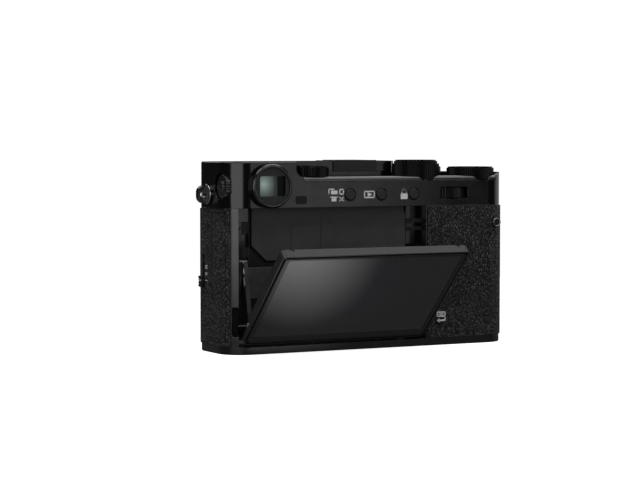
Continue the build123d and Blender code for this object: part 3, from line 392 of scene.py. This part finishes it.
class Piece:
    """One mesh gathered from strokes, plates, turned profiles and digits, in local millimetres."""

    def __init__(self):
        self.shape = bmesh.new()

    def settle(self, verts, place):
        bmesh.ops.transform(self.shape, matrix=place, verts=verts)

    def prism(self, outline, low, high, place, taper=0.0):
        """Closed outline raised from low to high; taper draws the top edge in."""
        mid = sum((Vector(p) for p in outline), Vector((0, 0))) / len(outline)
        rings = []
        for level, pull in ((low, 0.0), (high - taper, 0.0), (high, taper)):
            ring = []
            for point in outline:
                offset = Vector(point) - mid
                flat = mid + offset * max(0.0, 1 - pull / max(offset.length, 1e-6))
                ring.append(self.shape.verts.new((flat.x, flat.y, level)))
            rings.append(ring)
        for lower, upper in zip(rings, rings[1:]):
            for index in range(len(outline)):
                after = (index + 1) % len(outline)
                self.shape.faces.new((lower[index], lower[after], upper[after], upper[index]))
        self.shape.faces.new(rings[-1])
        self.shape.faces.new(rings[0][::-1])
        self.settle([vert for ring in rings for vert in ring], place)

    def plate(self, x, y, width, height, radius, low, high, place, taper=0.0):
        """Rounded rectangle."""
        outline = []
        for turn, (sx, sy) in enumerate(((1, 1), (-1, 1), (-1, -1), (1, -1))):
            for step in range(CORNER_STEPS + 1):
                angle = math.pi / 2 * (turn + step / CORNER_STEPS)
                outline.append((x + sx * (width / 2 - radius) + radius * math.cos(angle),
                                y + sy * (height / 2 - radius) + radius * math.sin(angle)))
        self.prism(outline, low, high, place, taper)

    def dot(self, x, y, radius, high, place):
        outline = []
        for side in range(DOT_SIDES):
            angle = 2 * math.pi * side / DOT_SIDES
            outline.append((x + radius * math.cos(angle), y + radius * math.sin(angle)))
        self.prism(outline, 0.0, high, place)

    def stroke(self, points, width, place, thick=INK, closed=False):
        """Line of even width with round ends and corners."""
        line = [Vector(point) for point in points]
        legs = list(zip(line, line[1:] + line[:1])) if closed else list(zip(line, line[1:]))
        for start, end in legs:
            side = (end - start).orthogonal().normalized() * width / 2
            self.prism([start + side, start - side, end - side, end + side], 0.0, thick, place)
        for point in line:
            self.dot(point.x, point.y, width / 2, thick, place)

    def turned(self, profile, place, sides=96):
        """Closed (radius, height) profile turned about the seat's out direction."""
        rings = []
        for step in range(sides):
            angle = 2 * math.pi * step / sides
            rings.append([self.shape.verts.new((r * math.cos(angle), r * math.sin(angle), h))
                          for r, h in profile])
        for index, ring in enumerate(rings):
            following = rings[(index + 1) % sides]
            for k in range(len(profile)):
                after = (k + 1) % len(profile)
                self.shape.faces.new((ring[k], following[k], following[after], ring[after]))
        self.settle([vert for ring in rings for vert in ring], place)

    def digits(self, text, size, place):
        """Raised digits centred on the seat."""
        curve = bpy.data.curves.new("digits", "FONT")
        curve.body, curve.size, curve.extrude = text, size, INK
        curve.align_x, curve.align_y = "CENTER", "CENTER"
        holder = bpy.data.objects.new("digits", curve)
        mesh = bpy.data.meshes.new_from_object(holder)
        count = len(self.shape.verts)
        self.shape.from_mesh(mesh)
        self.shape.verts.ensure_lookup_table()
        self.settle(self.shape.verts[count:], place)
        bpy.data.objects.remove(holder)
        bpy.data.meshes.remove(mesh)

    def build(self, name, material, body, slot):
        """Makes the mesh an object that rides on a body."""
        bmesh.ops.recalc_face_normals(self.shape, faces=self.shape.faces)
        mesh = bpy.data.meshes.new(name)
        self.shape.to_mesh(mesh)
        self.shape.free()
        mesh.materials.append(MATERIALS[material])
        made = bpy.data.objects.new(name, mesh)
        bpy.context.scene.collection.objects.link(made)
        mesh.polygons.foreach_set("use_smooth", [True] * len(mesh.polygons))
        mesh.set_sharp_from_angle(angle=math.radians(35))
        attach(made, body)


def middle(node):
    """Centre of a node's box, in millimetres."""
    low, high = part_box(node)
    return [(a + b) / 2 / MM for a, b in zip(low, high)]


def low_corner(node):
    """Lowest corner of a node's box, in millimetres."""
    return [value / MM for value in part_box(node)[0]]


def high_corner(node):
    """Highest corner of a node's box, in millimetres."""
    return [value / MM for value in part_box(node)[1]]


def back_seat(x, y, z):
    """Seat on a face that looks to the back."""
    return seat((x, y, z), X, Z)


def row_marks():
    """Pictograms printed left of the three buttons under the deck."""
    surface = high_corner("eye_sensor_window")[1] - 1.2 - 0.14
    x, _, z = middle("drive_button")
    sheets = back_seat(x - 6.3, surface, z)
    marks = Piece()
    marks.stroke([(-3.3, 0.5), (-3.3, 2.2), (-1.0, 2.2)], LINE, sheets)
    marks.plate(-0.9, 1.0, 2.9, 1.5, 0.3, 0.0, INK, sheets)
    marks.stroke([(1.5, 0.3), (3.2, 0.3), (3.2, 2.1), (1.5, 2.1)], LINE, sheets, closed=True)
    marks.stroke([(-2.6, -0.9), (0.6, -0.9)], LINE, sheets)
    marks.plate(-1.0, -1.9, 2.2, 1.3, 0.3, 0.0, INK, sheets)
    marks.stroke([(1.6, -2.4), (3.2, -1.0)], LINE, sheets)
    marks.stroke([(1.6, -1.0), (3.2, -2.4)], LINE, sheets)
    x, _, z = middle("play_button")
    arrow = back_seat(x - 5.6, surface, z)
    marks.stroke([(-2.2, -1.2), (2.2, -1.2), (2.2, 1.2), (-2.2, 1.2)], LINE, arrow, closed=True)
    marks.prism([(-0.8, -0.9), (1.3, 0.0), (-0.8, 0.9)], 0.0, INK, arrow)
    x, _, z = middle("lock_button")
    padlock = back_seat(x - 4.6, surface, z)
    marks.plate(0.0, -0.9, 3.2, 2.3, 0.3, 0.0, INK, padlock)
    arch = [(-math.cos(t * math.pi / 8), 0.9 + math.sin(t * math.pi / 8)) for t in range(9)]
    marks.stroke([(-1.0, 0.2)] + arch + [(1.0, 0.2)], LINE, padlock)
    marks.build("row_marks", "white", BODY, "black_paint")


def button_collars():
    """Thin turned bezels round the three buttons under the deck."""
    collars = Piece()
    for node in ("drive_button", "play_button", "lock_button"):
        x, _, z = middle(node)
        place = lathe_seat((x, low_corner(node)[1] + 0.45, z), -Y)
        collars.turned([(2.34, -0.05), (2.42, 0.08), (2.56, 0.1), (2.7, -0.05)], place, 64)
    collars.build("button_collars", "knurl", BODY, "black_paint")


def face_marks():
    """Pictograms on the faces of the back buttons."""
    x, _, z = middle("disp_button")
    place = back_seat(x, low_corner("disp_button")[1] - PROUD, z)
    marks = Piece()
    marks.stroke([(-1.8, 0.2), (1.8, 0.2), (1.8, 1.8), (-1.8, 1.8)], 0.55, place, closed=True)
    marks.stroke([(-0.8, 1.0), (0.8, 1.0)], LINE, place)
    marks.stroke([(1.8, -0.5), (1.8, -1.5), (-1.0, -1.5)], 0.6, place)
    marks.prism([(-2.1, -1.5), (-0.8, -2.3), (-0.8, -0.7)], 0.0, INK, place)
    marks.build("display_icon", "white", "disp_button_body", "button_plastic")
    x, _, z = middle("menu_button")
    place = back_seat(x, low_corner("menu_button")[1] - PROUD, z)
    marks = Piece()
    for level in (-1.0, 0.0, 1.0):
        marks.stroke([(-1.3, level), (1.3, level)], 0.4, place)
    marks.build("menu_icon", "white", "menu_button_body", "button_plastic")


def focus_marks():
    """Three marks beside the focus slide and an index line on it."""
    low, high = low_corner("switch_plate"), high_corner("switch_plate")
    surface = low_corner("leather_wrap")[0]
    marks = Piece()
    for row in range(3):
        place = seat((surface - 0.02, low[1] - 1.6, SLIDE_Z + row * SLIDE_STEP), -Y, Z)
        for bar in range(row + 1):
            level = 0.55 - bar * 0.55
            marks.stroke([(-0.8, level), (0.8, level)], 0.32, place, 0.06)
    marks.build("focus_marks", "white", BODY, "leatherette")
    index = Piece()
    knob_face = low_corner("focus_switch")[0] - PROUD
    place = seat((knob_face, (low[1] + high[1]) / 2, SLIDE_Z), -Y, Z)
    index.stroke([(-1.1, 0.5), (1.1, 0.5)], 0.34, place)
    index.build("slide_index", "white", "focus_switch_body", "button_plastic")


def dial_place(node, radius, degrees):
    """Seat on a dial's sunken top, at a radius and an angle, up pointing outwards."""
    x, y, _ = middle(node)
    angle = math.radians(degrees)
    out = Vector((math.sin(angle), math.cos(angle), 0))
    height = high_corner(node)[2] - DIAL_SINK + PROUD
    return seat((x + radius * out.x, y + radius * out.y, height), out.cross(Z), out)


def dial_marks():
    """Numbers and ticks on the dials' tops, fine turned rings on each, and the release's collar."""
    speeds = ("1", "2", "4", "8", "15", "30", "60", "125", "250", "500", "1000", "2000")
    marks = Piece()
    for index, text in enumerate(speeds):
        marks.digits(text, 1.45, dial_place("shutter_dial", 5.6, index * 30))
    marks.build("shutter_numbers", "white", "shutter_dial_body", "dial_metal")
    marks = Piece()
    for index, text in enumerate(("3", "2", "1", "0", "1", "2", "3")):
        marks.digits(text, 1.9, dial_place("exposure_dial", 6.4, -108 + index * 36))
    for tick in range(19):
        place = dial_place("exposure_dial", 7.8, -108 + tick * 12)
        marks.stroke([(0, -0.25), (0, 0.25)], 0.2, place)
    marks.build("exposure_numbers", "white", "exposure_dial_body", "dial_metal")
    for node, inner in (("shutter_dial", 3.2), ("exposure_dial", 3.6), ("top_knob", 2.4)):
        x, y, _ = middle(node)
        place = lathe_seat((x, y, high_corner(node)[2] - DIAL_SINK - PROUD), Z)
        rings = Piece()
        for radius in (inner, inner - 0.7, inner - 1.4):
            ridge = [(radius, 0.0), (radius + 0.1, 0.1), (radius + 0.4, 0.1), (radius + 0.5, 0.0)]
            rings.turned(ridge, place, 72)
        rings.build(f"{node}_rings", "knurl", f"{node}_body", "dial_metal")
    x, y, _ = middle("release_button")
    collar = Piece()
    place = lathe_seat((x, y, high_corner("release_button")[2] - 0.1), Z)
    collar.turned([(1.3, -0.9), (1.3, 0.1), (1.55, 0.16), (2.0, 0.12), (2.2, -0.05), (2.2, -0.3)],
                  place, 64)
    collar.build("release_collar", "steel", "release_button_body", "button_plastic")


def diopter_cap():
    """Turned cap in the middle of the finder's focus wheel."""
    x = low_corner("diopter_dial")[0]
    _, y, z = middle("diopter_dial")
    cap = Piece()
    profile = [(0.02, -0.1), (0.02, 0.3), (1.2, 0.34), (1.9, 0.2), (2.05, -0.1)]
    cap.turned(profile, lathe_seat((x, y, z), -X), 48)
    cap.build("diopter_cap", "diopter", "diopter_dial_body", "dial_metal")


def hinge_details():
    """Rivet heads on the screen's folding arms."""
    low, high = low_corner("tilt_arms"), high_corner("tilt_arms")
    rivets = Piece()
    for side, x in ((-X, low[0]), (X, high[0])):
        for z, radius in ((33.2, 0.75), (26.0, 0.62), (18.0, 0.5)):
            lean = (z - ARM_FOOT_Z) * ARM_LEAN
            place = lathe_seat((x, ARM_FOOT_Y - lean, z), side)
            rivets.turned([(0.02, -0.05), (0.02, 0.3), (radius * 0.7, 0.22), (radius, -0.05)], place, 28)
    rivets.build("arm_rivets", "steel", "hinge_arms", "bright_steel")


def bracket_details():
    """Washers on the bracket's pins, with a bright spring strip and studs on each leg."""
    low, high = low_corner("tilt_bracket"), high_corner("tilt_bracket")
    along = (TILT_PIN - LINK_PIN).normalized()
    hardware = Piece()
    for side, x in ((-X, low[0]), (X, high[0])):
        for pin, radius in ((LINK_PIN, 1.05), (TILT_PIN, 1.15)):
            place = lathe_seat((x, pin.x, pin.y), side)
            hardware.turned([(0.52, -0.05), (0.52, 0.16), (radius * 0.8, 0.18), (radius, -0.05)], place, 40)
        up = Vector((0.0, -along.x, -along.y))
        for distance, width, height in ((3.6, 1.5, 2.4), (7.6, 0.9, 3.6)):
            spot = LINK_PIN + along * distance
            place = seat((x, spot.x, spot.y), up.cross(side), up)
            hardware.plate(0.0, 0.0, width, height, 0.35, -0.05, 0.16, place, taper=0.08)
    hardware.build("bracket_hardware", "tin", "hinge_bracket", "bright_steel")


def recess_insert():
    """Dark block in the slot beside the screen's foot, following the round corner of the body: painted
    shade that keeps the slot black.
    """
    outline = [(-60.5, -12.55), (-58.65, -12.55), (-58.65, -14.5),
               (-59.4, -14.0), (-60.0, -13.5), (-60.5, -13.1)]
    shade_block = Piece()
    upright = seat((0, 0, 0), X, Y)
    shade_block.prism(outline, RECESS_Z - RECESS_HALF, RECESS_Z + RECESS_HALF, upright, taper=0.05)
    # Near-black prism standing in for the shade in the slot.
    shade_block.build("recess_shade_block", "recess", BODY, "soft_rubber")


def well_shadow_strip():
    """Dark strip round the edge of the raised plate in the well: painted shadow of the gap round the plate.
    """
    low, high = low_corner("well_plate"), high_corner("well_plate")
    left, right, foot, head = low[0] + 0.5, high[0] - 0.5, low[2] + 0.5, high[2] - 0.1
    path = [(left, head), (left, foot + 6.2), (left + 6.7, foot),
            (right - 6.7, foot), (right, foot + 6.2), (right, head)]
    strip = Piece()
    # Near-black strip where the gap round the plate is in shade: painted shadow.
    strip.stroke(path, 0.9, back_seat(0.0, low[1] + PROUD, 0.0), 0.12)
    strip.build("well_shadow_strip", "recess", BODY, "soft_rubber")


def quick_rim():
    """Polished rim on the face of the quick button."""
    x, _, z = middle("quick_button")
    rim = Piece()
    place = lathe_seat((x, low_corner("quick_button")[1], z), -Y)
    rim.turned([(1.35, -0.05), (1.4, 0.06), (1.6, 0.08), (1.68, -0.05)], place, 48)
    rim.build("quick_rim", "tin", "quick_button_body", "button_plastic")


def lug_rims():
    """Polished rims round the seats of the strap lugs."""
    low, high = low_corner("body_shell"), high_corner("body_shell")
    _, y, z = middle("strap_lugs")
    rims = Piece()
    for side, x in ((-X, low[0] - 0.8), (X, high[0] + 0.8)):
        place = lathe_seat((x, y, z), side)
        rims.turned([(3.45, -0.05), (3.5, 0.1), (3.75, 0.12), (3.9, -0.05)], place, 64)
    rims.build("lug_rims", "tin", BODY, "dark_steel")


def lens_marks():
    """Aperture numbers, an index on the collar and fine steps inside the front ring."""
    x, _, z = middle("lens_base")
    ring_y = (low_corner("aperture_ring")[1] + high_corner("aperture_ring")[1]) / 2
    marks = Piece()
    for index, text in enumerate(("2", "2.8", "4", "5.6", "8", "11", "16")):
        angle = math.radians((index - 3) * 14)
        out = Vector((math.sin(angle), 0, math.cos(angle)))
        origin = (x + RING_MARKS_RADIUS * out.x, ring_y, z + RING_MARKS_RADIUS * out.z)
        marks.digits(text, 2.0, seat(origin, Y.cross(out), Y))
    marks.build("aperture_numbers", "white", "aperture_ring_body", "lens_metal")
    index = Piece()
    place = seat((x, LENS_INDEX_Y, z + LENS_INDEX_RADIUS), X, Y)
    index.stroke([(0, -0.7), (0, 0.9)], 0.4, place)
    index.build("lens_index", "white", BODY, "lens_metal")
    steps = Piece()
    place = lathe_seat((x, high_corner("front_ring")[1] - 3.35, z), Y)
    for radius in (16.0, 17.6, 19.2, 20.8, 22.4):
        ridge = [(radius, 0.0), (radius + 0.5, 0.35), (radius + 0.9, 0.35), (radius + 1.0, 0.0)]
        steps.turned(ridge, place)
    steps.build("front_steps", "lens", BODY, "lens_metal")


def door_details():
    """Ribs on the battery door's catch."""
    ribs = Piece()
    place = seat((middle("battery_door")[0], 5.3, low_corner("battery_door")[2] + 0.7), X, -Y)
    for shift in range(-3, 4):
        ribs.plate(shift * 1.1, 0.0, 0.5, 3.0, 0.2, 0.0, 0.5, place, taper=0.12)
    ribs.build("catch_ribs", "button", "battery_door_body", "well_plastic")


def socket_contacts():
    """Contact tongues in the three sockets behind the cover."""
    z = middle("port_block")[2]
    contacts = Piece()
    for shift, height in ((-9.5, 6.4), (0.6, 4.6)):
        place = seat((SOCKET_FLOOR_X, 0.0, z + shift), Y, Z)
        contacts.plate(0.0, 0.0, 0.9, height, 0.3, 0.0, 2.6, place, taper=0.15)
    place = lathe_seat((SOCKET_FLOOR_X, 0.0, z + 10.0), X)
    contacts.turned([(1.3, 0.0), (1.3, 3.0), (1.5, 3.2), (1.7, 3.0), (1.7, 0.0)], place, 48)
    contacts.build("socket_contacts", "tin", BODY, "button_plastic")


def battery_details():
    """Contacts at the foot of the battery."""
    x, y, _ = middle("battery")
    pads = Piece()
    place = seat((x, y, low_corner("battery")[2]), X, -Y)
    for shift in (-6, -2, 2, 6):
        pads.plate(shift, 0.0, 2.2, 4.0, 0.3, -0.2, 0.08, place)
    pads.build("battery_contacts", "tin", BODY, "battery_wrap")


# ------------------------------------------------------------------- staging

AIM = Vector((0, 0, 0.04))
SOFTBOXES = (
    # name, azimuth from the back towards +X, elevation, distance, width and height, power
    ("left_panel", -41, 2, 1.6, (1.6, 1.1), 9.5),
    ("back_strip", 25, 2, 1.6, (0.30, 1.0), 0.85),
    ("top_panel", 84, 66, 1.4, (2.4, 1.2), 12.0),
    ("key_panel", -20, 58, 1.4, (1.3, 0.5), 4.0),
    ("front_panel", 165, 38, 1.6, (1.6, 0.9), 5.0),
    ("right_panel", 110, 2, 1.6, (2.1, 1.1), 4.4),
    ("left_fill", -100, 60, 1.4, (1.0, 0.6), 6.0),
)
TABLE_RADIUS, TABLE_DROP = 0.42, 0.05 * MM
GLOW_CENTRE, GLOW_RADIUS = (-31 * MM, -62 * MM, 0), 42 * MM
EYE = (-0.4094, -0.7443, 0.0836)
HEADING, PITCH = -27.9, 2.77
FOCAL_LENGTH, SENSOR_WIDTH = 118.6, 36.0


def softbox(name, azimuth, elevation, distance, size, power):
    """Area light in a direction from the object, aimed back at it."""
    data = bpy.data.lights.new(name, "AREA")
    data.shape = "RECTANGLE"
    data.size, data.size_y = size
    data.energy = power
    lamp = bpy.data.objects.new(name, data)
    a, e = math.radians(azimuth), math.radians(elevation)
    towards = Vector((math.sin(a) * math.cos(e), -math.cos(a) * math.cos(e), math.sin(e)))
    lamp.location = AIM + distance * towards
    lamp.rotation_euler = (AIM - lamp.location).to_track_quat("-Z", "Y").to_euler()
    bpy.context.scene.collection.objects.link(lamp)


def backdrop():
    """White surroundings for the camera's view, nearly black for light and reflections."""
    world = bpy.data.worlds.new("studio")
    world.use_nodes = True
    nodes, links = world.node_tree.nodes, world.node_tree.links
    nodes.clear()
    mix = nodes.new("ShaderNodeMixShader")
    links.new(nodes.new("ShaderNodeLightPath").outputs["Is Camera Ray"], mix.inputs[0])
    for socket, strength in ((1, 0.03), (2, 1.05)):
        glow = nodes.new("ShaderNodeBackground")
        glow.inputs["Color"].default_value = (1, 1, 1, 1)
        glow.inputs["Strength"].default_value = strength
        links.new(glow.outputs[0], mix.inputs[socket])
    out = nodes.new("ShaderNodeOutputWorld")
    links.new(mix.outputs[0], out.inputs["Surface"])
    bpy.context.scene.world = world


def floor():
    """Round white table, with a soft glow under the screen that its glass mirrors."""
    mesh = bpy.data.meshes.new("floor")
    shape = bmesh.new()
    bmesh.ops.create_circle(shape, cap_ends=True, segments=96, radius=TABLE_RADIUS)
    shape.to_mesh(mesh)
    shape.free()
    ground = bpy.data.objects.new("floor", mesh)
    ground.location.z = -TABLE_DROP
    bpy.context.scene.collection.objects.link(ground)
    g = Graph("floor_sweep")
    shade = g.blend(g.noise(30 * MM, 3.0), grey(0.86), grey(0.9))
    diffuse = g.feed(g.add("ShaderNodeBsdfDiffuse"), Color=shade)
    glow = g.feed(g.add("ShaderNodeEmission"), Strength=0.93)
    seen = g.add("ShaderNodeAddShader")
    g.put(diffuse.outputs[0], seen.inputs[0])
    g.put(glow.outputs[0], seen.inputs[1])
    away = g.vectors("DISTANCE", g.place, GLOW_CENTRE, output="Value")
    pool = g.math("POWER", g.span(away, 0.0, GLOW_RADIUS, 1.0, 0.0), 1.3)
    strength = g.math("ADD", g.math("MULTIPLY", pool, 2.0), 0.11)
    mirrored = g.feed(g.add("ShaderNodeEmission"), Strength=strength)
    pick = g.add("ShaderNodeMixShader")
    g.put(g.add("ShaderNodeLightPath").outputs["Is Camera Ray"], pick.inputs[0])
    g.put(mirrored.outputs[0], pick.inputs[1])
    g.put(seen.outputs[0], pick.inputs[2])
    mesh.materials.append(g.finish(pick.outputs[0]))


def camera():
    data = bpy.data.cameras.new("camera")
    data.lens = FOCAL_LENGTH
    data.sensor_width = SENSOR_WIDTH
    data.clip_end = 50.0
    eye = bpy.data.objects.new("camera", data)
    eye.location = EYE
    eye.rotation_euler = (math.pi / 2 - math.radians(PITCH), 0, math.radians(HEADING))
    bpy.context.scene.collection.objects.link(eye)
    bpy.context.scene.camera = eye


dress_nodes()
row_marks()
button_collars()
face_marks()
focus_marks()
dial_marks()
diopter_cap()
hinge_details()
bracket_details()
recess_insert()
well_shadow_strip()
quick_rim()
lug_rims()
lens_marks()
door_details()
socket_contacts()
battery_details()
floor()
backdrop()
for row in SOFTBOXES:
    softbox(*row)
camera()
bpy.context.scene.view_settings.view_transform = "Standard"
